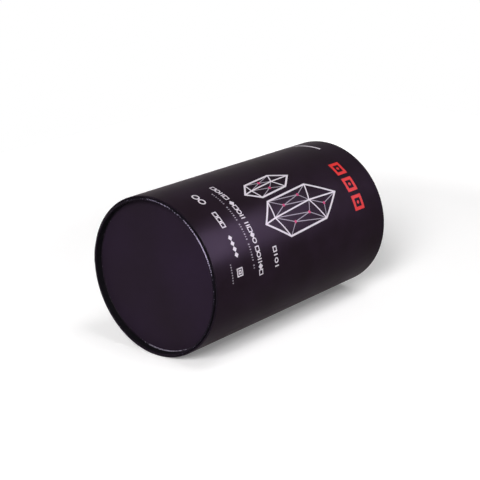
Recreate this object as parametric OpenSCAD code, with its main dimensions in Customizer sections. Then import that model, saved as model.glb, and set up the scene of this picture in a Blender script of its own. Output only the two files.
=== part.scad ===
// Cylindrical gift tube box, standing on its foot.
// A board tube with a set-in bottom is the base. A second tube with a set-in top
// is the sleeve, which slips down over the whole height of the base.
// Every board is covered with paper that is folded round its rounded edges.
// The axis of the tube is Z, and the foot stands on z = 0.

/* [Outside] */
// Outside diameter of the closed box, over the printed paper
box_d = 100; // [60:1:160]
// Height of the closed box, from the foot to the top rim
box_h = 174; // [80:1:320]
// Height of the base's foot that shows below the sleeve
foot_reveal = 1.2; // [0.6:0.1:3]

/* [Boards] */
// Wall of the sleeve's wound board tube
sleeve_board = 0.8; // [0.7:0.05:2]
// Wall of the base's wound board tube
base_board = 0.86; // [0.7:0.05:2]
// Thickness of the two board discs
disc_board = 2; // [1:0.1:3]
// How far both discs are set in from their rims
set_in = 5.3; // [2:0.1:8]

/* [Papers] */
// Printed and film-laminated paper round the sleeve
sleeve_paper = 0.2; // [0.12:0.01:0.3]
// Plain paper round the base
base_paper = 0.15; // [0.12:0.01:0.2]
// Thin lining paper inside both tubes and on both discs
lining_paper = 0.12; // [0.08:0.01:0.15]
// Film of glue between a paper and its board
glue = 0.02; // [0.01:0.005:0.03]
// Length of paper that is folded over an edge and glued down inside
hem = 13; // [12:0.5:20]
// Radius of a folded edge, measured on the outside of the paper
edge_r = 0.45; // [0.38:0.01:0.47]

/* [Seam] */
// Width of the overlap where the printed paper meets itself
lap_w = 9; // [5:0.5:15]
// Angle of the overlap round the tube, with the print's centre at -90
lap_angle = 128; // [100:1:170]

/* [Fit] */
// Play between the base and the sleeve, on the radius
slip_gap = 0.15; // [0.1:0.01:0.5]
// Air left between the base's mouth and the sleeve's ceiling
top_gap = 0.05; // [0.03:0.01:0.5]
// Margin of bare disc round a face paper
face_margin = 0.15; // [0.1:0.05:2]

/* [Hidden] */
$fn = 180;

// Whole wall of the sleeve at a hem: board, two papers and their glue
sleeve_wall = sleeve_board + 2 * (sleeve_paper + glue);
sleeve_r = box_d / 2;
sleeve_foot_z = foot_reveal;
sleeve_bore_r = sleeve_r - sleeve_wall;

// Whole wall of the base at a hem
base_wall = base_board + 2 * (base_paper + glue);
base_r = sleeve_bore_r - slip_gap;
base_bore_r = base_r - base_wall;

// Heights of the two discs and of the base's mouth
bottom_disc_z = set_in;
top_disc_z = box_h - set_in - disc_board;
ceiling_z = top_disc_z - glue - lining_paper;
mouth_z = ceiling_z - top_gap;

// The lining stops short of the base's mouth, so that the hem's edge shows
mouth_margin = 3;
lap_span = lap_w / sleeve_r * 180 / PI;

black_print = [0.15, 0.11, 0.15];
black_paper = [0.09, 0.08, 0.10];
grey_board = [0.52, 0.49, 0.45];
lining_black = [0.12, 0.11, 0.12];

// Section of a tube wall with four rounded edges, in radius and height
module wall_section(r_in, r_out, z_low, z_high, corner) {
    translate([r_in + corner, z_low])
        square([r_out - r_in - 2 * corner, z_high - z_low]);
    translate([r_in, z_low + corner])
        square([r_out - r_in, z_high - z_low - 2 * corner]);
    for (r = [r_in + corner, r_out - corner], z = [z_low + corner, z_high - corner])
        translate([r, z])
            circle(r = corner);
}

// Section of the bare board inside a wrapped wall
module board_section(r_out, wall, paper, z_low, z_high, slack) {
    inset = paper + glue - slack;
    wall_section(r_out - wall + inset, r_out - inset, z_low + inset, z_high - inset,
                 edge_r - inset);
}

// Section of a paper that covers a wall outside and is hemmed inside at both ends
module wrap_section(r_out, wall, paper, z_low, z_high) {
    difference() {
        wall_section(r_out - wall, r_out, z_low, z_high, edge_r);
        board_section(r_out, wall, paper, z_low, z_high, glue);
        translate([r_out - wall - 1, z_low + hem])
            square([paper + glue + 1.2, z_high - z_low - 2 * hem]);
    }
}

// Flat round sheet with its lower face at z_low
module round_sheet(r, z_low, thickness) {
    translate([0, 0, z_low])
        cylinder(r = r, h = thickness);
}

// Strip of the printed paper's free end, glued over its own beginning
// and trimmed just short of the two folded edges
module lap_strip() {
    low = sleeve_foot_z + 2 * edge_r;
    rotate([0, 0, lap_angle])
        rotate_extrude(angle = lap_span)
            translate([sleeve_r - sleeve_paper / 2, low])
                square([1.5 * sleeve_paper, box_h - 2 * edge_r - low]);
}

module base_tube() {
    color(grey_board)
        rotate_extrude()
            board_section(base_r, base_wall, base_paper, 0, mouth_z, 0);
}

module base_wrap() {
    color(black_paper)
        rotate_extrude()
            wrap_section(base_r, base_wall, base_paper, 0, mouth_z);
}

// The lining lies on the lower hem, steps down onto the board above it,
// and steps up again over the hem at the mouth
module base_lining() {
    on_hem = base_bore_r - glue;
    on_board = base_bore_r + base_paper;
    low = bottom_disc_z + disc_board + glue;
    high = mouth_z - mouth_margin;
    step = 1;
    color(lining_black)
        rotate_extrude()
            polygon([
                [on_hem, low], [on_hem, hem + step], [on_board, hem + 2 * step],
                [on_board, mouth_z - hem - 2 * step], [on_hem, mouth_z - hem - step],
                [on_hem, high],
                [on_hem - lining_paper, high], [on_hem - lining_paper, mouth_z - hem - step],
                [on_board - lining_paper, mouth_z - hem - 2 * step],
                [on_board - lining_paper, hem + 2 * step],
                [on_hem - lining_paper, hem + step], [on_hem - lining_paper, low]
            ]);
}

module bottom_disc() {
    color(grey_board)
        round_sheet(base_bore_r - glue, bottom_disc_z, disc_board);
}

module bottom_face() {
    color(black_print)
        round_sheet(base_bore_r - face_margin, bottom_disc_z - glue - base_paper, base_paper);
}

module floor_paper() {
    color(lining_black)
        round_sheet(base_bore_r - lining_paper - face_margin,
                    bottom_disc_z + disc_board + glue, lining_paper);
}

module sleeve_tube() {
    color(grey_board)
        rotate_extrude()
            board_section(sleeve_r, sleeve_wall, sleeve_paper, sleeve_foot_z, box_h, 0);
}

module sleeve_wrap() {
    color(black_print) {
        rotate_extrude()
            wrap_section(sleeve_r, sleeve_wall, sleeve_paper, sleeve_foot_z, box_h);
        lap_strip();
    }
}

// The lining fills the height between the two hems, flush with them
module sleeve_lining() {
    on_board = sleeve_bore_r + sleeve_paper;
    low = sleeve_foot_z + hem + glue;
    color(lining_black)
        rotate_extrude()
            translate([on_board - lining_paper, low])
                square([lining_paper, box_h - hem - glue - low]);
}

module top_disc() {
    color(grey_board)
        round_sheet(sleeve_bore_r - glue, top_disc_z, disc_board);
}

module top_face() {
    color(black_print)
        round_sheet(sleeve_bore_r - face_margin, top_disc_z + disc_board + glue, sleeve_paper);
}

module ceiling_paper() {
    color(lining_black)
        round_sheet(sleeve_bore_r - face_margin, ceiling_z, lining_paper);
}

base_tube();
base_wrap();
base_lining();
bottom_disc();
bottom_face();
floor_paper();
sleeve_tube();
sleeve_wrap();
sleeve_lining();
top_disc();
top_face();
ceiling_paper();
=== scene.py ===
# %% [markdown]
# # A cylindrical gift tube box
# The box is a paper-covered board tube. A sleeve with a set-in top slips down over a base with a
# set-in bottom, so the closed box is one plain cylinder and only its two ends show that it is made
# of two tubes, one inside the other. The model stands upright on z = 0. The photograph shows the
# same box lying on its side, so here the camera and its table are turned instead of the box.

# %% The frame
import math

import bpy
import numpy as np
from mathutils import Matrix, Vector


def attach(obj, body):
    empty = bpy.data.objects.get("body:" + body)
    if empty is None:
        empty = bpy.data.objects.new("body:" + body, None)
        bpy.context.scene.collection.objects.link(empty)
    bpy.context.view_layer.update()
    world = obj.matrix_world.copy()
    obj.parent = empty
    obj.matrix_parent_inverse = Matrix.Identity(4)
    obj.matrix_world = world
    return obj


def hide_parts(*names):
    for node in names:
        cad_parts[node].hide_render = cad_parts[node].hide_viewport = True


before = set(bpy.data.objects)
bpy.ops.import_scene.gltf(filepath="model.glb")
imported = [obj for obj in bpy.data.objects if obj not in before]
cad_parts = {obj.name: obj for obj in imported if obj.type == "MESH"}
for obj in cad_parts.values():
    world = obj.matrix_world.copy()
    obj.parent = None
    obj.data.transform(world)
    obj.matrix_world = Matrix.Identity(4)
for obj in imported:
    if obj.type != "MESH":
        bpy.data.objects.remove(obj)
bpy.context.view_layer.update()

# %% [markdown]
# ## Sizes
# Every size is a real one, in metres, and the same as in the box's construction. Only FACE_MARGIN
# is smaller, because the round papers are pressed right into their corners here. Places on the
# printed side are given as an angle round the tube and a height, because that is how a printer's
# flat sheet becomes a tube: angle times radius is the distance across the sheet.

# %% Sizes of the box
BOX_R = 0.050
BOX_H = 0.174
FOOT_REVEAL = 0.0012
SLEEVE_BOARD = 0.0008
BASE_BOARD = 0.00086
SLEEVE_PAPER = 0.0002
BASE_PAPER = 0.00015
LINING_PAPER = 0.00012
GLUE = 0.00002
HEM = 0.013
EDGE_R = 0.00045
SET_IN = 0.0053
DISC_BOARD = 0.002
SLIP_GAP = 0.00015
TOP_GAP = 0.00005
FACE_MARGIN = 0.00005
LAP_ANGLE = math.radians(128)
LAP_WIDTH = 0.009

SLEEVE_WALL = SLEEVE_BOARD + 2 * (SLEEVE_PAPER + GLUE)
BASE_WALL = BASE_BOARD + 2 * (BASE_PAPER + GLUE)
SLEEVE_BORE_R = BOX_R - SLEEVE_WALL
BASE_R = SLEEVE_BORE_R - SLIP_GAP
BASE_BORE_R = BASE_R - BASE_WALL
TOP_DISC_Z = BOX_H - SET_IN - DISC_BOARD
CEILING_Z = TOP_DISC_Z - GLUE - LINING_PAPER
MOUTH_Z = CEILING_Z - TOP_GAP
TINY = 1e-7
print(f"sleeve wall {SLEEVE_WALL * 1e3:.2f} mm, base wall {BASE_WALL * 1e3:.2f} mm")

# %% [markdown]
# ## The camera
# The two end circles and the two straight sides of the tube are enough to work out where the
# photographer stood. The camera's axes are written as the columns of its matrix, which is surer
# than three angles. The lens is long, so the far end of the tube is only a little smaller.

# %% Camera
LENS = 95.9
SENSOR = 36
CAMERA_AT = Vector((0.11855, -0.54703, -0.51874))
CAMERA_RIGHT = Vector((0.49612, -0.59125, 0.63584))
CAMERA_UP = Vector((-0.85570, -0.45702, 0.24270))
CAMERA_BACK = Vector((0.14710, -0.66450, -0.73267))

lens = bpy.data.cameras.new("camera")
lens.lens = LENS
lens.sensor_width = SENSOR
camera = bpy.data.objects.new("camera", lens)
bpy.context.scene.collection.objects.link(camera)
axes = Matrix((CAMERA_RIGHT, CAMERA_UP, CAMERA_BACK)).transposed().to_4x4()
camera.matrix_world = Matrix.Translation(CAMERA_AT) @ axes
bpy.context.scene.camera = camera
print("camera", [round(x, 3) for x in camera.location], "lens", LENS, "mm")

# %% [markdown]
# ## The table and the room
# In the photograph the tube lies on a white table. For the upright model, that table is a wall
# that touches its side. A second, level floor is there for views of the standing box. Both are
# one-sided: from behind they are clear, so no view is blocked. A photographer's sweep shows no
# edge. Here each sheet glows a little to the camera, more so away from the box, until it melts
# into the room. The room is white to the camera and in reflections, and gives a softer, dimmer
# light to everything else.

# %% Directions of the photograph in the model's frame
UP_ANGLE = math.radians(-140)
SIDE_ANGLE = math.radians(-50)
PHOTO_UP = Vector((math.cos(UP_ANGLE), math.sin(UP_ANGLE), 0))
PHOTO_SIDE = Vector((math.cos(SIDE_ANGLE), math.sin(SIDE_ANGLE), 0))
PHOTO_AXIS = Vector((0, 0, 1))
print("up in the photograph is", [round(x, 3) for x in PHOTO_UP])


# %% Helpers for flat sheets and shader nodes
def sheet_mesh(name, corners):
    """One flat four-cornered face through the given corners, in order round it."""
    mesh = bpy.data.meshes.new(name)
    mesh.from_pydata([tuple(c) for c in corners], [], [(0, 1, 2, 3)])
    made = bpy.data.objects.new(name, mesh)
    bpy.context.scene.collection.objects.link(made)
    return made


def node(tree, kind, values=None, operation=None):
    """A new shader node. values sets its inputs by name or number, operation what it works out."""
    made = tree.nodes.new(kind)
    if operation is not None:
        made.operation = operation
    for key, value in (values or {}).items():
        made.inputs[key].default_value = value
    return made


def looked_at(tree):
    """1 for a ray from the camera, off something glossy or through something clear, 0 for the
    rays that only carry light: the largest of the three ray tests."""
    ray = node(tree, "ShaderNodeLightPath")
    most = ray.outputs["Is Camera Ray"]
    for kind in ("Is Glossy Ray", "Is Transmission Ray"):
        larger = node(tree, "ShaderNodeMath", operation="MAXIMUM")
        tree.links.new(most, larger.inputs[0])
        tree.links.new(ray.outputs[kind], larger.inputs[1])
        most = larger.outputs[0]
    return most


# %% White ground material
def white_ground(name, centre, lift, edge_lift, fade):
    """Matt white that is clear from behind, and looks a little brighter than it lights others.
    What it adds is lift up to the first distance of fade from the centre, and grows evenly to
    edge_lift at the second."""
    made = bpy.data.materials.new(name)
    made.use_nodes = True
    tree = made.node_tree
    tree.nodes.clear()
    link = tree.links.new
    where = node(tree, "ShaderNodeTexCoord")
    distance = node(tree, "ShaderNodeVectorMath", {1: centre}, "DISTANCE")
    rise = node(tree, "ShaderNodeMapRange", {"From Min": fade[0], "From Max": fade[1],
                                             "To Min": lift, "To Max": edge_lift})
    strength = node(tree, "ShaderNodeMath", operation="MULTIPLY")
    link(where.outputs["Object"], distance.inputs[0])
    link(distance.outputs["Value"], rise.inputs["Value"])
    link(looked_at(tree), strength.inputs[0])
    link(rise.outputs["Result"], strength.inputs[1])
    glow = node(tree, "ShaderNodeEmission", {"Color": (1, 1, 1, 1)})
    link(strength.outputs[0], glow.inputs["Strength"])
    matt = node(tree, "ShaderNodeBsdfDiffuse", {"Color": (0.9, 0.9, 0.9, 1)})
    both = node(tree, "ShaderNodeAddShader")
    link(matt.outputs[0], both.inputs[0])
    link(glow.outputs[0], both.inputs[1])
    clear = node(tree, "ShaderNodeBsdfTransparent")
    side = node(tree, "ShaderNodeNewGeometry")
    choose = node(tree, "ShaderNodeMixShader")
    link(side.outputs["Backfacing"], choose.inputs[0])
    link(both.outputs[0], choose.inputs[1])
    link(clear.outputs[0], choose.inputs[2])
    out = node(tree, "ShaderNodeOutputMaterial")
    link(choose.outputs[0], out.inputs["Surface"])
    return made


# %% Photo table and standing floor
TABLE_HALF = 0.45
TABLE_NEAR = -0.35
TABLE_FAR = 0.70
TABLE_MIDDLE = 0.2
TABLE_LIFT = 0.18
TABLE_EDGE_LIFT = 0.7
TABLE_FADE = (0.22, 0.5)
FLOOR_HALF = 1.2
FLOOR_Z = -0.00001
FLOOR_LIFT = 0.76
FLOOR_EDGE_LIFT = 0.8
FLOOR_FADE = (0.3, 1.0)

under = -PHOTO_UP * BOX_R
table = sheet_mesh("photo_table", [
    under - PHOTO_SIDE * TABLE_HALF + PHOTO_AXIS * TABLE_NEAR,
    under - PHOTO_SIDE * TABLE_HALF + PHOTO_AXIS * TABLE_FAR,
    under + PHOTO_SIDE * TABLE_HALF + PHOTO_AXIS * TABLE_FAR,
    under + PHOTO_SIDE * TABLE_HALF + PHOTO_AXIS * TABLE_NEAR,
])
if table.data.polygons[0].normal.dot(PHOTO_UP) < 0:
    table.data.flip_normals()
table.data.materials.append(white_ground("white_table", under + PHOTO_AXIS * TABLE_MIDDLE,
                                         TABLE_LIFT, TABLE_EDGE_LIFT, TABLE_FADE))

floor = sheet_mesh("standing_floor", [
    (-FLOOR_HALF, -FLOOR_HALF, FLOOR_Z), (FLOOR_HALF, -FLOOR_HALF, FLOOR_Z),
    (FLOOR_HALF, FLOOR_HALF, FLOOR_Z), (-FLOOR_HALF, FLOOR_HALF, FLOOR_Z),
])
floor.data.materials.append(white_ground("white_floor", (0, 0, 0),
                                         FLOOR_LIFT, FLOOR_EDGE_LIFT, FLOOR_FADE))
floor.visible_shadow = False
floor.visible_diffuse = False
floor.visible_glossy = False
print("table normal", [round(x, 2) for x in table.data.polygons[0].normal])

# %% White room
ROOM_AMBIENT = 0.20

world = bpy.data.worlds.new("white_room")
bpy.context.scene.world = world
world.use_nodes = True
room = world.node_tree
room.nodes.clear()
fill = node(room, "ShaderNodeBackground",
            {"Color": (1, 0.985, 0.99, 1), "Strength": ROOM_AMBIENT})
seen = node(room, "ShaderNodeBackground", {"Color": (1, 1, 1, 1), "Strength": 1})
choose = node(room, "ShaderNodeMixShader")
sky = node(room, "ShaderNodeOutputWorld")
room.links.new(looked_at(room), choose.inputs[0])
room.links.new(fill.outputs[0], choose.inputs[1])
room.links.new(seen.outputs[0], choose.inputs[2])
room.links.new(choose.outputs[0], sky.inputs["Surface"])
print("room light", ROOM_AMBIENT)

# %% [markdown]
# ## The lamps
# Two soft lamps light everything. One stands low at the near end of the box and throws the long,
# faint shadow. The other hangs over it and darkens the table where the box touches it. The next
# two are for reflections alone: a dark film shows little but what it mirrors, so they draw the
# violet sheen along the side and the glints on the rim, and leave the table as it is.


# %% Lamps
def soft_lamp(name, at, aim, size, watts, colour):
    """A soft lamp of that width and height at one point, turned to face another. No camera sees
    it."""
    lamp = bpy.data.lights.new(name, "AREA")
    lamp.shape = "RECTANGLE"
    lamp.size, lamp.size_y = size
    lamp.energy = watts
    lamp.color = colour
    made = bpy.data.objects.new(name, lamp)
    made.location = at
    made.rotation_euler = (Vector(aim) - Vector(at)).to_track_quat("-Z", "Y").to_euler()
    made.visible_camera = False
    bpy.context.scene.collection.objects.link(made)
    return made


MIDDLE = Vector((0, 0, BOX_H / 2))
LOW_WAY = -0.785 * PHOTO_AXIS + 0.505 * PHOTO_UP + 0.352 * PHOTO_SIDE
LOW_DISTANCE = 3
TOP_WAY = 0.951 * PHOTO_UP + 0.309 * PHOTO_SIDE
TOP_DISTANCE = 2
SHEEN_AT = Vector((0.0144, -0.316, 0.245))
SHEEN_AIM = (0, -0.05, 0.03)
FRONT_AT = Vector((0.12, -0.93, -0.48))
NEAR_WHITE = (1, 0.99, 0.99)
VIOLET = (0.88, 0.76, 1)
PALE_VIOLET = (0.93, 0.88, 1)

low_lamp = soft_lamp("low_lamp", MIDDLE + LOW_DISTANCE * LOW_WAY, MIDDLE,
                     size=(1.1, 1.1), watts=101, colour=NEAR_WHITE)
top_lamp = soft_lamp("top_lamp", MIDDLE + TOP_DISTANCE * TOP_WAY, MIDDLE,
                     size=(0.7, 0.7), watts=10, colour=NEAR_WHITE)
sheen_lamp = soft_lamp("sheen_lamp", SHEEN_AT, SHEEN_AIM,
                       size=(0.22, 0.15), watts=12.2, colour=VIOLET)
front_strip = soft_lamp("front_strip", FRONT_AT, (0, 0, 0),
                        size=(1.2, 0.16), watts=28, colour=PALE_VIOLET)
for lamp in (sheen_lamp, front_strip):
    lamp.visible_diffuse = False
for lamp in (low_lamp, top_lamp, sheen_lamp, front_strip):
    print(lamp.name, [round(x, 2) for x in lamp.location], lamp.data.energy, "W")

# %% [markdown]
# ## Surfaces from formulas
# Each new piece is a grid of points worked out with numpy: one direction runs round the tube, the
# other along a profile. A grid can close on itself in either direction. The papers carry a UV map
# in metres, which no finish here reads: the grain comes from the object's own coordinates.


# %% Grid to mesh
def grid_faces(rows, cols, wrap_rows, wrap_cols):
    """The corner numbers of every four-cornered face of a grid, with the last row or column
    joined to the first one where that direction wraps."""
    i = np.arange(rows if wrap_rows else rows - 1)[:, None]
    j = np.arange(cols if wrap_cols else cols - 1)[None, :]
    up = (i + 1) % rows
    on = (j + 1) % cols
    return np.stack([i * cols + j, i * cols + on, up * cols + on, up * cols + j], -1).reshape(-1, 4)


def mesh_from_arrays(name, points, quads, triangles=None, smooth=True, uv=None):
    """A mesh object from arrays of points and faces, with its faces shaded smooth or flat. uv
    holds one pair of numbers for each corner of each face, in the order of the faces."""
    triangles = np.zeros((0, 3), int) if triangles is None else triangles
    mesh = bpy.data.meshes.new(name)
    mesh.vertices.add(len(points))
    mesh.vertices.foreach_set("co", np.ascontiguousarray(points, np.float32).ravel())
    corners = np.concatenate([quads.ravel(), triangles.ravel()]).astype(np.int32)
    sides = np.concatenate([np.full(len(quads), 4), np.full(len(triangles), 3)])
    mesh.loops.add(len(corners))
    mesh.loops.foreach_set("vertex_index", corners)
    mesh.polygons.add(len(sides))
    starts = np.concatenate([[0], np.cumsum(sides)[:-1]]).astype(np.int32)
    mesh.polygons.foreach_set("loop_start", starts)
    mesh.polygons.foreach_set("use_smooth", np.full(len(sides), smooth))
    if uv is not None:
        layer = mesh.uv_layers.new(name="sheet")
        layer.data.foreach_set("uv", np.ascontiguousarray(uv, np.float32).ravel())
    mesh.update(calc_edges=True)
    mesh.validate()
    made = bpy.data.objects.new(name, mesh)
    bpy.context.scene.collection.objects.link(made)
    print(f"{name}: {len(points)} points, {len(sides)} faces")
    return made


# %% Revolved profile
def revolve(name, profile, angles, push):
    """A closed profile of (radius, height) points carried round the Z axis. push is added to the
    radius and may change along the profile and round the tube. The grid closes in both
    directions. Its UV map holds metres round the tube and metres along the profile."""
    radius = profile[:, :1] + push
    points = np.stack([
        radius * np.cos(angles)[None, :],
        radius * np.sin(angles)[None, :],
        np.repeat(profile[:, 1:], len(angles), 1),
    ], -1).reshape(-1, 3)
    rows, cols = radius.shape
    quads = grid_faces(rows, cols, True, True)
    step = np.linalg.norm(np.roll(profile, -1, 0) - profile, axis=1)
    along = np.concatenate([[0], np.cumsum(step)])
    turn = np.concatenate([angles, [angles[0] + 2 * np.pi]]) * BOX_R
    i, j = np.meshgrid(np.arange(rows), np.arange(cols), indexing="ij")
    uv = np.stack([
        np.stack([turn[j], along[i]], -1), np.stack([turn[j + 1], along[i]], -1),
        np.stack([turn[j + 1], along[i + 1]], -1), np.stack([turn[j], along[i + 1]], -1),
    ], 2).reshape(-1, 2)
    return mesh_from_arrays(name, points, quads, uv=uv)


# %% [markdown]
# ## Paper folded round a board tube
# The covering paper is one skin of even thickness. It runs up the inside of the lower hem, round
# two small bends at the lower edge, up the outside, round two bends at the upper edge and down
# inside again. The same walk done twice, once on the paper's outer face and once on its glued
# face, gives a closed section that only needs turning round the axis.

# %% Section of a hemmed paper
HEM_STEPS = 7
HEM_LAST = 0.002
BEND_STEPS = 7
NEAR_BEND = 0.0004


def arc(centre, radius, start, end):
    """Points on part of a circle in the (radius, height) plane, from one angle to another."""
    turn = np.radians(np.linspace(start, end, BEND_STEPS))
    return np.stack([centre[0] + radius * np.cos(turn), centre[1] + radius * np.sin(turn)], -1)


def walk(r_out, r_in, low, high, inset, rows):
    """One face of the paper: hem, lower edge, outside, upper edge and hem. inset is how far this
    face lies inside the outer one, so the bends get tighter by that much. A row close to each
    bend keeps the bend's shading from running out over the flat paper."""
    bend = EDGE_R - inset
    side = np.linspace(low + EDGE_R + NEAR_BEND, high - EDGE_R - NEAR_BEND, rows)
    hem_rows = np.append(np.linspace(HEM, HEM_LAST, HEM_STEPS - 1), EDGE_R + NEAR_BEND)
    outer, inner = r_out - inset, r_in + inset
    return np.concatenate([
        np.stack([np.full(HEM_STEPS, inner), low + hem_rows], -1),
        arc((r_in + EDGE_R, low + EDGE_R), bend, 180, 270),
        arc((r_out - EDGE_R, low + EDGE_R), bend, 270, 360),
        np.stack([np.full(rows, outer), side], -1),
        arc((r_out - EDGE_R, high - EDGE_R), bend, 0, 90),
        arc((r_in + EDGE_R, high - EDGE_R), bend, 90, 180),
        np.stack([np.full(HEM_STEPS, inner), high - hem_rows[::-1]], -1),
    ])


def hemmed_section(r_out, r_in, low, high, paper, rows):
    """The paper's whole closed section: its outer face, then its glued face walked back. Also
    says which of the section's points lie on the outer face."""
    face = walk(r_out, r_in, low, high, 0, rows)
    glued = walk(r_out, r_in, low, high, paper, rows)
    return np.concatenate([face, glued[::-1]]), np.arange(2 * len(face)) < len(face)


# %% [markdown]
# ## The printed paper of the sleeve
# A laminated sheet is rolled round the tube and glued over itself along one upright lap, away
# from the print. On one side the lap ends in the sheet's cut edge, a crisp step. On the other the
# upper layer eases down to the board over a few millimetres. Inside the rims the paper was
# folded round a curve, so the hem is gathered in slight, uneven pleats.

# %% Sleeve paper
AROUND = 720
SLEEVE_ROWS = 22
CUT_WIDTH = 0.00015
EASE_WIDTH = 0.0035
PLEAT_DEPTH = 0.00003

even = np.linspace(0, 2 * np.pi, AROUND, endpoint=False)
cut = LAP_ANGLE + np.array([0.25, 0.5, 0.75, 1]) * CUT_WIDTH / BOX_R
angles = np.sort(np.concatenate([even, cut]))


def smooth_step(value, start, end):
    """0 before start, 1 after end, and an even S between them."""
    t = np.clip((value - start) / (end - start), 0, 1)
    return t * t * (3 - 2 * t)


def lap_height(turn):
    """1 on the lap and 0 elsewhere: a sharp rise at the cut edge, a slow fall on the other side."""
    away = (turn - LAP_ANGLE) % (2 * np.pi) * BOX_R
    rise = smooth_step(away, 0, CUT_WIDTH)
    return rise * (1 - smooth_step(away, LAP_WIDTH, LAP_WIDTH + EASE_WIDTH))


def hem_pleats(section, on_face, bore, seed):
    """How far the gathers push each point of the grid: on the hem's outer face, the sum of a few
    waves whose counts round the tube don't divide, so the pleats stay uneven."""
    is_hem = on_face & (section[:, 0] < bore + TINY)
    waves = np.sin(37 * angles + seed) + 0.7 * np.sin(61 * angles + 2.1 * seed)
    depth = 0.5 * waves + 0.35 * np.sin(97 * angles + 0.7 * seed)
    return is_hem[:, None] * depth[None, :] * PLEAT_DEPTH


def bend_strips(section, on_face, low, high):
    """True for each strip of the paper's outer face that lies on a bend, that is within the
    bend's radius of either edge. Strip i runs from point i to the next one."""
    middle = (section[:, 1] + np.roll(section[:, 1], -1)) / 2
    at_edge = (middle < low + EDGE_R) | (middle > high - EDGE_R)
    return at_edge & on_face & np.roll(on_face, -1)


section, on_face = hemmed_section(BOX_R, SLEEVE_BORE_R, FOOT_REVEAL, BOX_H, SLEEVE_PAPER,
                                  SLEEVE_ROWS)
sleeve_bends = bend_strips(section, on_face, FOOT_REVEAL, BOX_H)
is_outside = on_face & (section[:, 0] > BOX_R - EDGE_R)
fade = is_outside * smooth_step(section[:, 0], BOX_R - EDGE_R, BOX_R)
push = fade[:, None] * lap_height(angles)[None, :] * SLEEVE_PAPER
push = push + hem_pleats(section, on_face, SLEEVE_BORE_R, 1.3)
sleeve_paper = revolve("sleeve_paper", section, angles, push)
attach(sleeve_paper, "sleeve")
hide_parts("sleeve_wrap")

# %% [markdown]
# ## The plain paper of the base
# The inner tube is covered in the same way with an unprinted black paper. Its foot is the ring
# that the box stands on, and it shows just below the sleeve's edge. The outer half of each fold
# gets most wear, and at a few places a painted highlight, so it's marked apart from the inner half
# and can wear its own finish.

# %% Base paper
BASE_ROWS = 16
OUTER_FOLD_R = BASE_R - EDGE_R - 0.0001

section, on_face = hemmed_section(BASE_R, BASE_BORE_R, 0, MOUTH_Z, BASE_PAPER, BASE_ROWS)
base_bends = bend_strips(section, on_face, 0, MOUTH_Z) * 1
base_bends[(base_bends > 0) & (section[:, 0] > OUTER_FOLD_R)] = 2
base_paper = revolve("base_paper", section, angles,
                     hem_pleats(section, on_face, BASE_BORE_R, 4.2))
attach(base_paper, "base")
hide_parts("base_wrap")

# %% [markdown]
# ## Round papers on the discs
# Each disc's outer face is covered by a round printed paper. It is cut slightly too large and
# pressed into the corner, so its last half millimetre curls up against the hem. That narrow
# hollow curve catches light on its glossy fold, and on the bottom disc a painted highlight of pale
# specks along one arc makes the thin bright arc inside the rim.

# %% Disc face
CENTRE_R = 0.003
FLAT_STEPS = 15
CURL_R = 0.00045
CURL_STEPS = 9
SQUEEZED = 0.7


def disc_face(name, wall, level, thickness, out):
    """A round sheet with a curled edge. out is -1 or 1: the way its printed face looks along Z.
    The printed face is flat, then a quarter circle that turns it up along the wall, where the
    paper is squeezed thinner. The glued face is flat, then a straight rise. Returns the sheet,
    and for each of its faces whether it lies on the curl."""
    inner = wall - SQUEEZED * thickness
    turn = np.linspace(0, np.pi / 2, CURL_STEPS)
    flat = np.linspace(CENTRE_R, inner - CURL_R, FLAT_STEPS + 1)[:-1]
    radius = np.concatenate([flat, inner - CURL_R + CURL_R * np.sin(turn), [wall, wall],
                             flat[::-1]])
    height = np.concatenate([np.full(FLAT_STEPS, thickness),
                             thickness + CURL_R - CURL_R * np.cos(turn),
                             [thickness + CURL_R, 0], np.zeros(FLAT_STEPS)])
    ripple = 0.00004 * np.sin(29 * angles + 0.6) + 0.00003 * np.sin(53 * angles)
    is_lip = (radius > inner - TINY) & (height > thickness + 0.9 * CURL_R)
    z = level + out * (height[:, None] + is_lip[:, None] * ripple[None, :])
    ring = np.stack([np.cos(angles), np.sin(angles)], -1)
    grid = np.concatenate([radius[:, None, None] * ring[None], z[..., None]], -1)
    rows, cols = grid.shape[:2]
    quads = grid_faces(rows, cols, False, True)
    points = np.concatenate([grid.reshape(-1, 3),
                             [[0, 0, level + out * thickness], [0, 0, level]]])
    printed_hub, glued_hub = rows * cols, rows * cols + 1
    j = np.arange(cols)
    on = (j + 1) % cols
    last = (rows - 1) * cols
    fan = np.concatenate([np.stack([np.full(cols, printed_hub), on, j], -1),
                          np.stack([np.full(cols, glued_hub), last + j, last + on], -1)])
    if out > 0:
        quads, fan = quads[:, ::-1], fan[:, ::-1]
    corners = np.concatenate([quads.ravel(), fan.ravel()])
    made = mesh_from_arrays(name, points, quads, fan, uv=points[corners][:, :2])
    curl = np.zeros(rows - 1, bool)
    curl[FLAT_STEPS:FLAT_STEPS + CURL_STEPS] = True
    return made, np.concatenate([np.repeat(curl, cols), np.zeros(len(fan), bool)])


bottom_print, bottom_curl = disc_face("bottom_print", BASE_BORE_R - FACE_MARGIN,
                                      SET_IN - GLUE, BASE_PAPER, -1)
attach(bottom_print, "base")
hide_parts("bottom_face")

top_print, top_curl = disc_face("top_print", SLEEVE_BORE_R - FACE_MARGIN,
                                TOP_DISC_Z + DISC_BOARD + GLUE, SLEEVE_PAPER, 1)
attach(top_print, "sleeve")
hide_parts("top_face")

# %% [markdown]
# ## Ink
# The print is a real, very thin layer that stands 0.02 to 0.04 mm above the laminate, as a thick
# screen print does. Each mark is a small grid on the unrolled sheet, in metres across and metres
# up, which is then rolled round the tube. A mark has a top, a rim and a hidden underside, so it
# is a closed body. Made this way, a stroke stays sharp however close the camera comes. The
# design is a plain one: a cluster of crystals, rows of squares, rings and dashes, three red
# squares and a rule.

# %% Rolling a mark round the tube
INK_SINK = 0.00004
PRINT_ZERO = UP_ANGLE


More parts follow.
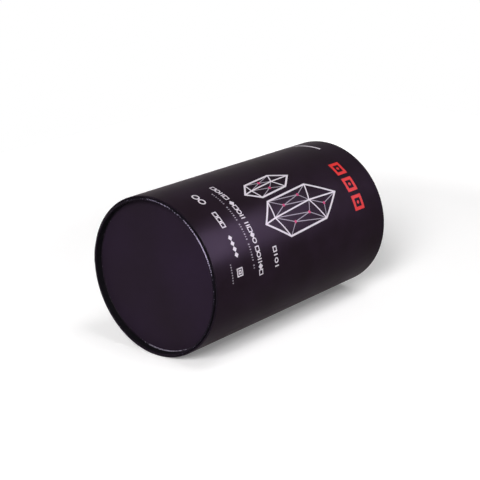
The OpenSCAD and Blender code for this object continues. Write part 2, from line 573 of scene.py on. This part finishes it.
def roll(across, up, height):
    """A point of the flat sheet on the tube: across is an arc length, so the angle is across over
    the radius, and height is how far the point stands above the paper."""
    turn = across / BOX_R + PRINT_ZERO
    radius = BOX_R + height
    return np.stack([radius * np.cos(turn), radius * np.sin(turn), up + 0 * turn], -1)


class Marks:
    """Collects grids of ink and makes them one mesh."""

    def __init__(self):
        self.points, self.quads, self.count = [], [], 0

    def add(self, across, up, height, wraps=False):
        """Adds one mark from two equal grids. Its top is the grid at that height, its underside
        the same grid just below the paper's surface, and its rim joins the two. The faces are
        turned so that they look outwards."""
        rows, cols = across.shape
        top = roll(across, up, height).reshape(-1, 3)
        low = roll(across, up, -INK_SINK).reshape(-1, 3)
        faces = grid_faces(rows, cols, wraps, False)[:, ::-1]
        number = np.arange(rows * cols).reshape(rows, cols)
        if wraps:
            rims = [np.concatenate([number[:, 0], number[:1, 0]])[::-1],
                    np.concatenate([number[:, -1], number[:1, -1]])]
        else:
            rims = [np.concatenate([number[0], number[1:, -1], number[-1, -2::-1],
                                    number[-2::-1, 0]])]
        walls = [np.stack([r[:-1], r[1:], r[1:] + rows * cols, r[:-1] + rows * cols], -1)
                 for r in rims]
        quads = np.concatenate([faces, faces[:, ::-1] + rows * cols, *walls])
        self.points += [top, low]
        self.quads.append(quads + self.count)
        self.count += 2 * rows * cols

    def finish(self, name):
        """Makes the mesh and lets it ride on the sleeve."""
        made = mesh_from_arrays(name, np.concatenate(self.points), np.concatenate(self.quads),
                                smooth=False)
        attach(made, "sleeve")
        return made


# %% Shapes of marks
MARK_STEP = 0.0008
DOT_STEPS = 7


def place(angle, height):
    """A point of the print, in metres across and up, from its angle in degrees and its height in
    tube radii."""
    return np.array([np.radians(angle) * BOX_R, height * BOX_R])


def patch(marks, corners, height):
    """A filled four-cornered mark, by mixing its corners evenly in both directions."""
    c = np.asarray(corners, float)
    long = max(np.linalg.norm(c[1] - c[0]), np.linalg.norm(c[2] - c[3]))
    wide = max(np.linalg.norm(c[3] - c[0]), np.linalg.norm(c[2] - c[1]))
    u = np.linspace(0, 1, int(long / MARK_STEP) + 2)[:, None, None]
    v = np.linspace(0, 1, int(wide / MARK_STEP) + 2)[None, :, None]
    p = (1 - u) * ((1 - v) * c[0] + v * c[3]) + u * ((1 - v) * c[1] + v * c[2])
    marks.add(p[..., 0], p[..., 1], height)


def line(marks, start, end, width, height):
    """A straight stroke with square ends."""
    way = (end - start) / np.linalg.norm(end - start)
    out = np.array([-way[1], way[0]]) * width / 2
    patch(marks, [start - out, end - out, end + out, start + out], height)


def outline(marks, corners, width, height):
    """A stroke round a closed figure with mitred corners: at each corner the two offset lines
    meet on the half-angle, so the stroke keeps its width."""
    c = np.asarray(corners, float)
    ahead = np.roll(c, -1, 0) - c
    length = np.linalg.norm(ahead, axis=1)
    ahead = ahead / length[:, None]
    behind = np.roll(ahead, 1, 0)
    out = np.stack([-ahead[:, 1], ahead[:, 0]], -1)
    out_behind = np.stack([-behind[:, 1], behind[:, 0]], -1)
    mitre = out + out_behind
    mitre = mitre / (1 + (out * out_behind).sum(1))[:, None]
    sides = [c - mitre * width / 2, c + mitre * width / 2]
    count = max(2, int(length.max() / MARK_STEP) + 1)
    at = np.arange(len(c) * count) / count
    ring = [np.stack([np.interp(at, np.arange(len(c) + 1), np.append(s[:, k], s[0, k]))
                      for k in (0, 1)], -1) for s in sides]
    grid = np.stack(ring, 1)
    marks.add(grid[..., 0], grid[..., 1], height, wraps=True)


def polygon(centre, radius, count, turn=0):
    """Corners of a regular figure round a centre, turned by some degrees."""
    t = np.linspace(0, 2 * np.pi, count, endpoint=False) + math.radians(turn)
    return np.stack([centre[0] + radius * np.cos(t), centre[1] + radius * np.sin(t)], -1)


def dot(marks, centre, radius, height):
    """A filled round mark: a square grid pressed into a circle, x by the root of 1 - yy/2 and y
    by the root of 1 - xx/2."""
    even = np.linspace(-1, 1, DOT_STEPS)
    u, v = np.meshgrid(even, even, indexing="ij")
    x = u * np.sqrt(1 - v * v / 2)
    y = v * np.sqrt(1 - u * u / 2)
    marks.add(centre[0] + radius * x, centre[1] + radius * y, height)


# %% [markdown]
# ## The crystals
# A cut crystal drawn in lines reads by the weight of its strokes: a bold outline, lighter ridges
# between its faces, and fine threads across them that meet in small pink nodes. Each corner has a
# name, so a stroke is only a pair of names, and the whole drawing can be moved by its corners.

# %% Crystal cluster
BOLD, BOLD_INK = 0.0012, 0.00003
RIDGE, RIDGE_INK = 0.0009, 0.000026
FINE, FINE_INK = 0.0005, 0.00002
NODE_R, NODE_INK = 0.0010, 0.00004
TALL = {
    "tip": (51, 2.62), "right_high": (67, 2.26), "right_low": (70, 1.50), "foot": (56, 1.14),
    "left_low": (41, 1.38), "left_high": (37.5, 2.18), "front_high": (50, 2.08),
    "front_low": (54, 1.34),
}
SMALL = {
    "tip": (25.5, 2.06), "right_high": (34, 1.86), "right_low": (36.5, 1.36), "foot": (30, 1.14),
    "left_low": (22, 1.28), "left_high": (19.5, 1.78), "front_high": (26, 1.72),
    "front_low": (28.5, 1.29),
}
RING = ["tip", "right_high", "right_low", "foot", "left_low", "left_high"]
RIDGES = [
    ("left_high", "front_high"), ("front_high", "right_high"), ("left_low", "front_low"),
    ("front_low", "right_low"), ("front_high", "front_low"), ("tip", "front_high"),
    ("foot", "front_low"),
]

crystal_edges = Marks()
crystal_ridges = Marks()
for crystal in (TALL, SMALL):
    outline(crystal_edges, [place(*crystal[k]) for k in RING][::-1], BOLD, BOLD_INK)
    for a, b in RIDGES:
        line(crystal_ridges, place(*crystal[a]), place(*crystal[b]), RIDGE, RIDGE_INK)
crystal_edges = crystal_edges.finish("print_crystal_edges")
crystal_ridges = crystal_ridges.finish("print_crystal_ridges")

# %% Facets and their nodes
NODES = {
    "a": (43.5, 1.94), "b": (47.5, 1.60), "c": (58.5, 1.98), "d": (61.5, 1.66), "e": (56, 2.32),
    "f": (24, 1.52), "g": (31, 1.60),
}
THREADS = [
    ("left_high", "a"), ("front_high", "a"), ("left_low", "a"), ("a", "b"), ("b", "left_low"),
    ("b", "front_low"), ("b", "front_high"), ("c", "front_high"), ("c", "right_high"),
    ("c", "d"), ("d", "front_low"), ("d", "right_low"), ("d", "right_high"), ("c", "front_low"),
    ("e", "tip"), ("e", "front_high"), ("e", "right_high"),
]
SMALL_THREADS = [
    ("left_high", "f"), ("left_low", "f"), ("front_high", "f"), ("front_low", "f"),
    ("front_high", "g"), ("right_high", "g"), ("right_low", "g"), ("front_low", "g"),
]

facets = Marks()
for crystal, threads in ((TALL, THREADS), (SMALL, SMALL_THREADS)):
    spots = {**crystal, **NODES}
    for a, b in threads:
        line(facets, place(*spots[a]), place(*spots[b]), FINE, FINE_INK)
facets = facets.finish("print_crystal_facets")

nodes = Marks()
for spot in NODES.values():
    dot(nodes, place(*spot), NODE_R, NODE_INK)
nodes = nodes.finish("print_crystal_nodes")

# %% [markdown]
# ## Rows of small marks
# Near the foot the print has rows of plain figures that mean nothing: squares, rings, lozenges,
# bars and dashes. Each is told by a letter, its angle, its half size and its stroke, and each row
# has one height. Small figures in even rows give the print its scale.

# %% Red squares
RED_Z = 2.98

red = Marks()
for angle in (34.5, 49.5, 64.5):
    centre = place(angle, RED_Z)
    outline(red, polygon(centre, 0.0056, 4, 45), 0.0022, BOLD_INK)
    dot(red, centre, 0.0011, BOLD_INK)
red = red.finish("print_red_squares")

# %% Marks of the rows
TWIN_SHIFT = 0.0009
RING_CORNERS = 20
SMALL_RING_CORNERS = 16


def mark(marks, kind, angle, level, size, stroke, corners=RING_CORNERS):
    """One figure of a row: S a square, R a ring, D a filled lozenge, B a bar, T twin bars. size
    is half its height, or the radius of its corners."""
    centre = place(angle, level)
    if kind == "S":
        outline(marks, polygon(centre, size, 4, 45), stroke, BOLD_INK)
    if kind == "R":
        outline(marks, polygon(centre, size, corners), stroke, BOLD_INK)
    if kind == "D":
        patch(marks, polygon(centre, size, 4), BOLD_INK)
    for shift in {"B": [0], "T": [-TWIN_SHIFT, TWIN_SHIFT]}.get(kind, []):
        line(marks, centre + (shift, -size), centre + (shift, size), stroke, BOLD_INK)


def dash(marks, angle, level, length, stroke):
    """A short level stroke round one place."""
    centre = place(angle, level)
    line(marks, centre - (length / 2, 0), centre + (length / 2, 0), stroke, FINE_INK)


# %% Rows of dashes
DASHES = 34
DASHES_Z = 0.715
DASHES_START = 20.0
DASHES_STEP = 1.85
DASH_LENGTHS = (0.0009, 0.0005, 0.0007, 0.0004)
GROUP = 8
SPECKS = 8
SPECKS_Z = 0.315
SPECKS_START = 73.0
SPECKS_STEP = 1.8

small_rows = Marks()
for number in range(DASHES):
    if number % GROUP != GROUP - 1:
        dash(small_rows, DASHES_START + DASHES_STEP * number, DASHES_Z,
             DASH_LENGTHS[number % len(DASH_LENGTHS)], 0.0011)
for number in range(SPECKS):
    dash(small_rows, SPECKS_START + SPECKS_STEP * number, SPECKS_Z, 0.0008, 0.0008)
small_rows = small_rows.finish("print_small_rows")

# %% Rows of figures
BORDER = "SRTS DSRT TSDR SRTDS"
BORDER_Z = 0.835
BORDER_SIZES = {
    "S": (0.0021, 0.0006), "R": (0.0015, 0.0007), "D": (0.0020, 0), "T": (0.0018, 0.0007),
}
BORDER_START = 14.5
BORDER_STEP = 4.1
BORDER_GAP = 1.9
FIGURES_Z = 0.46
FIGURES = [
    ("R", (17.5, 23.5), 0.0021, 0.0009), ("S", (37, 41.5, 46), 0.0021, 0.0007),
    ("D", (56, 60, 64, 68), 0.0017, 0),
]
DOUBLE_SQUARE = (80, 0.455)
SHORT_ROW_Z = 1.14
SHORT_ROW = [
    ("S", 74, 0.0020, 0.0007), ("B", 78, 0.0017, 0.0008), ("R", 82, 0.0014, 0.0007),
    ("B", 86, 0.0017, 0.0008),
]

rows = Marks()
at = BORDER_START
for kind in BORDER:
    if kind == " ":
        at += BORDER_GAP
    else:
        mark(rows, kind, at, BORDER_Z, *BORDER_SIZES[kind])
        at += BORDER_STEP
for kind, spots, size, stroke in FIGURES:
    for angle in spots:
        mark(rows, kind, angle, FIGURES_Z, size, stroke)
for size in (0.0032, 0.0013):
    mark(rows, "S", *DOUBLE_SQUARE, size, 0.0007)
for kind, angle, size, stroke in SHORT_ROW:
    mark(rows, kind, angle, SHORT_ROW_Z, size, stroke, SMALL_RING_CORNERS)
rows = rows.finish("print_rows")

# %% Side rule
RULE_WIDTH = 0.0016

rule = Marks()
line(rule, place(9, 3.15), place(-40, 3.06), RULE_WIDTH, BOLD_INK)
rule = rule.finish("print_side_rule")

# %% [markdown]
# ## Finishes
# Every finish is procedural and reads the object's own coordinates, so it has the right scale
# and stays put when the sleeve moves. The printed film is the one that matters: a very dark
# aubergine whose highlight is violet, because what it reflects is tinted. It reflects little
# head-on, or the white room would turn every edge grey. Where paper is folded over a rim it is
# polished, and its colour has come off in sparse specks. At a few places round the foot and on
# the bottom disc's curl, many more pale specks are painted on as a painted highlight: they make
# the speckled bright line round the foot and the thin bright arc inside the rim.


# %% Node helpers
def finish(name, colour, roughness, specular, tint=(1, 1, 1, 1)):
    """A new material. Returns it with its node tree and its principled shader."""
    made = bpy.data.materials.new(name)
    made.use_nodes = True
    tree = made.node_tree
    shader = tree.nodes["Principled BSDF"]
    shader.inputs["Base Color"].default_value = (*colour, 1)
    shader.inputs["Roughness"].default_value = roughness
    shader.inputs["Specular IOR Level"].default_value = specular
    shader.inputs["Specular Tint"].default_value = tint
    return made, tree, shader


def noise(tree, scale, detail, stretch=(1, 1, 1)):
    """Noise on the object's coordinates, scale in repeats per metre. A stretch under 1 draws it
    out along that axis."""
    where = node(tree, "ShaderNodeTexCoord")
    mapping = node(tree, "ShaderNodeMapping", {"Scale": stretch})
    made = node(tree, "ShaderNodeTexNoise", {"Scale": scale, "Detail": detail})
    tree.links.new(where.outputs["Object"], mapping.inputs["Vector"])
    tree.links.new(mapping.outputs["Vector"], made.inputs["Vector"])
    return made.outputs["Fac"]


def coloured(tree, shader, source, low, high, dark, light):
    """Colours the shader by a value: dark below low, light above high."""
    made = tree.nodes.new("ShaderNodeValToRGB")
    made.color_ramp.elements[0].position = low
    made.color_ramp.elements[0].color = (*dark, 1)
    made.color_ramp.elements[1].position = high
    made.color_ramp.elements[1].color = (*light, 1)
    tree.links.new(source, made.inputs["Fac"])
    tree.links.new(made.outputs["Color"], shader.inputs["Base Color"])


def bump(tree, shader, source, distance, strength, below=None):
    """Adds relief of that depth in metres, over another bump where one is given."""
    made = node(tree, "ShaderNodeBump", {"Distance": distance, "Strength": strength})
    tree.links.new(source, made.inputs["Height"])
    if below is not None:
        tree.links.new(below.outputs["Normal"], made.inputs["Normal"])
    tree.links.new(made.outputs["Normal"], shader.inputs["Normal"])
    return made


# %% Printed film
FILM_SPECULAR = 0.006
FILM_TINT = (0.80, 0.58, 1.0, 1)
BLOOM_TINT = (1.0, 0.36, 0.50, 1)


def printed_film(name, dark, light, cloud_scale):
    """Dark print under a velvety film: cloudy colour, patchy gloss, a soft pink bloom, fine
    orange peel, and under that the slow waves of the board."""
    made, tree, shader = finish(name, dark, 0.38, FILM_SPECULAR, FILM_TINT)
    shader.inputs["Sheen Weight"].default_value = 0.018
    shader.inputs["Sheen Roughness"].default_value = 0.3
    shader.inputs["Sheen Tint"].default_value = BLOOM_TINT
    coloured(tree, shader, noise(tree, cloud_scale, 3), 0.3, 0.7, dark, light)
    gloss = node(tree, "ShaderNodeMapRange", {"To Min": 0.28, "To Max": 0.46})
    tree.links.new(noise(tree, 90, 3), gloss.inputs["Value"])
    tree.links.new(gloss.outputs["Result"], shader.inputs["Roughness"])
    peel = bump(tree, shader, noise(tree, 1600, 2), 0.000012, 0.5)
    bump(tree, shader, noise(tree, 130, 2, (1, 1, 0.5)), 0.00010, 0.4, peel)
    return made


film = printed_film("printed_film", (0.0110, 0.0067, 0.0098), (0.0150, 0.0089, 0.0154), 45)
end_film = printed_film("end_film", (0.0136, 0.0092, 0.0140), (0.0174, 0.0108, 0.0215), 16)
print("films", film.name, "and", end_film.name)

# %% Folds and the cut edge
# Above these thresholds the colour turns to the pale colour of the wear specks and of the painted
# highlights.
WEAR_GLINT_FROM = 0.62
WEAR_GLINT_FULL = 0.80


def near_angle(tree, phi, reach):
    """1 at one angle of the print and 0 beyond its reach, both in degrees: the dot product of
    the place with that direction, over the radius, is the cosine of how far away it is."""
    turn = PRINT_ZERO + math.radians(phi)
    where = node(tree, "ShaderNodeTexCoord")
    along = node(tree, "ShaderNodeVectorMath", {1: (math.cos(turn), math.sin(turn), 0)},
                 "DOT_PRODUCT")
    made = node(tree, "ShaderNodeMapRange", {
        "From Min": BASE_R * math.cos(math.radians(reach)), "From Max": BASE_R})
    made.interpolation_type = "SMOOTHSTEP"
    tree.links.new(where.outputs["Object"], along.inputs[0])
    tree.links.new(along.outputs["Value"], made.inputs["Value"])
    return made.outputs["Result"]


def specked_finish(name, colour, wear_and_glint, roughness, specular, painted_glints=()):
    """Paper polished along a fold, with sparse pale specks where its colour has come off.
    painted_glints lists an angle, a reach and an amount for each place where many more pale specks
    are painted on as a painted highlight."""
    made, tree, shader = finish(name, colour, roughness, specular)
    specks = noise(tree, 1400, 4)
    much = specks
    for phi, reach, amount in painted_glints:
        more = node(tree, "ShaderNodeMath", {1: amount}, "MULTIPLY_ADD")
        tree.links.new(near_angle(tree, phi, reach), more.inputs[0])
        tree.links.new(much, more.inputs[2])
        much = more.outputs[0]
    coloured(tree, shader, much, WEAR_GLINT_FROM, WEAR_GLINT_FULL, colour, wear_and_glint)
    bump(tree, shader, specks, 0.00001, 0.3)
    return made


film_fold = specked_finish("film_fold", (0.008, 0.005, 0.009), (0.08, 0.06, 0.085), 0.25, 0.018)
# The listed places on the foot's fold are painted highlights: many more pale specks at 56 and 14
# degrees make the bright line at the upper right and top, and at 250 a faint line on the left.
foot_fold = specked_finish("foot_fold", (0.004, 0.003, 0.006), (0.30, 0.26, 0.37), 0.2, 0.015,
                      [(56, 26, 0.27), (14, 30, 0.15), (250, 75, 0.15)])
# The listed place on the bottom disc's curl is a painted highlight: pale specks that make the thin
# bright arc inside the rim.
disc_fold = specked_finish("disc_fold", (0.008, 0.005, 0.009), (0.20, 0.18, 0.23), 0.25, 0.018,
                      [(172, 34, 0.30)])
cut_edge = specked_finish("cut_edge", (0.10, 0.085, 0.10), (0.30, 0.28, 0.30), 0.7, 0.03)
print("folds", [made.name for made in (film_fold, foot_fold, disc_fold, cut_edge)])

# %% Black paper, lining paper and board
PLAIN_SPECULAR = 0.015


def plain_paper(name, dark, light, roughness):
    """Uncoated paper: fibres show as a slight mottle in colour and relief."""
    made, tree, shader = finish(name, dark, roughness, PLAIN_SPECULAR)
    fibres = noise(tree, 900, 5, (1, 1, 0.4))
    coloured(tree, shader, fibres, 0.35, 0.7, dark, light)
    bump(tree, shader, fibres, 0.00003, 0.6)
    return made


black_paper = plain_paper("black_paper", (0.0045, 0.0040, 0.0055), (0.0075, 0.0065, 0.0085), 0.6)
lining = plain_paper("lining_paper", (0.008, 0.007, 0.008), (0.014, 0.012, 0.014), 0.75)
board = plain_paper("grey_board", (0.20, 0.175, 0.15), (0.30, 0.27, 0.235), 0.85)
print("plain", [made.name for made in (black_paper, lining, board)])

# %% Inks
INK_ROUGHNESS = 0.5
INK_SPECULAR = 0.03


def ink(name, colour):
    """Matt screen ink with a slightly uneven coat, a tenth darker where it is thin."""
    made, tree, shader = finish(name, colour, INK_ROUGHNESS, INK_SPECULAR)
    coat = noise(tree, 1200, 2)
    coloured(tree, shader, coat, 0.3, 0.7, tuple(0.9 * c for c in colour), colour)
    bump(tree, shader, coat, 0.000008, 0.4)
    return made


pale_ink = ink("pale_ink", (0.62, 0.58, 0.64))
grey_ink = ink("grey_ink", (0.32, 0.29, 0.34))
red_ink = ink("red_ink", (0.58, 0.024, 0.020))
pink_ink = ink("pink_ink", (0.50, 0.030, 0.13))
print("inks", [made.name for made in (pale_ink, grey_ink, red_ink, pink_ink)])

# %% [markdown]
# ## Dressing the pieces
# A paper is one sheet, but it doesn't look the same all over: its folds are polished and have
# lost colour in specks, some of them carry a painted highlight, and its cut edge shows the paler
# core. So each paper wears several finishes, and every face has the number of its own. The
# solids that the new papers don't hide are the boards, the linings and the round papers inside,
# which show when the sleeve is off.


# %% Materials on pieces
def dress(piece, finishes, numbers=None):
    """Gives a piece its finishes, and each face the number of one of them where they differ."""
    piece.data.materials.clear()
    for material in finishes:
        piece.data.materials.append(material)
    if numbers is not None:
        piece.data.polygons.foreach_set("material_index", numbers.ravel().astype(np.int32))


CUT_NUMBER = 2
is_cut = (angles > LAP_ANGLE - TINY) & (angles < LAP_ANGLE + 0.9 * CUT_WIDTH / BOX_R)
wall_strips = is_outside & np.roll(is_outside, -1) & ~sleeve_bends
sleeve_numbers = np.where(wall_strips[:, None] & is_cut[None, :], CUT_NUMBER,
                          sleeve_bends[:, None] * 1)
dress(sleeve_paper, [film, film_fold, cut_edge], sleeve_numbers)
dress(base_paper, [black_paper, film_fold, foot_fold], np.repeat(base_bends, len(angles)))
dress(bottom_print, [end_film, disc_fold], bottom_curl)
dress(top_print, [end_film, film_fold], top_curl)
print("cut edge of the lap:", int((sleeve_numbers == CUT_NUMBER).sum()), "faces")

INKED = {
    pale_ink: [crystal_edges, crystal_ridges, rows, rule],
    grey_ink: [facets, small_rows],
    red_ink: [red],
    pink_ink: [nodes],
}
for material, pieces in INKED.items():
    for piece in pieces:
        dress(piece, [material])

SOLIDS = {
    "base_tube": board, "sleeve_tube": board, "bottom_disc": board, "top_disc": board,
    "base_lining": lining, "sleeve_lining": lining, "floor_paper": lining,
    "ceiling_paper": lining, "base_wrap": black_paper, "sleeve_wrap": film,
    "bottom_face": end_film, "top_face": end_film,
}
for name, material in SOLIDS.items():
    for material_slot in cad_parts[name].material_slots:
        material_slot.material = material
print("inks on", len(INKED), "groups of marks, finishes on", len(SOLIDS), "solids")

# %% View
bpy.context.scene.view_settings.view_transform = "Standard"
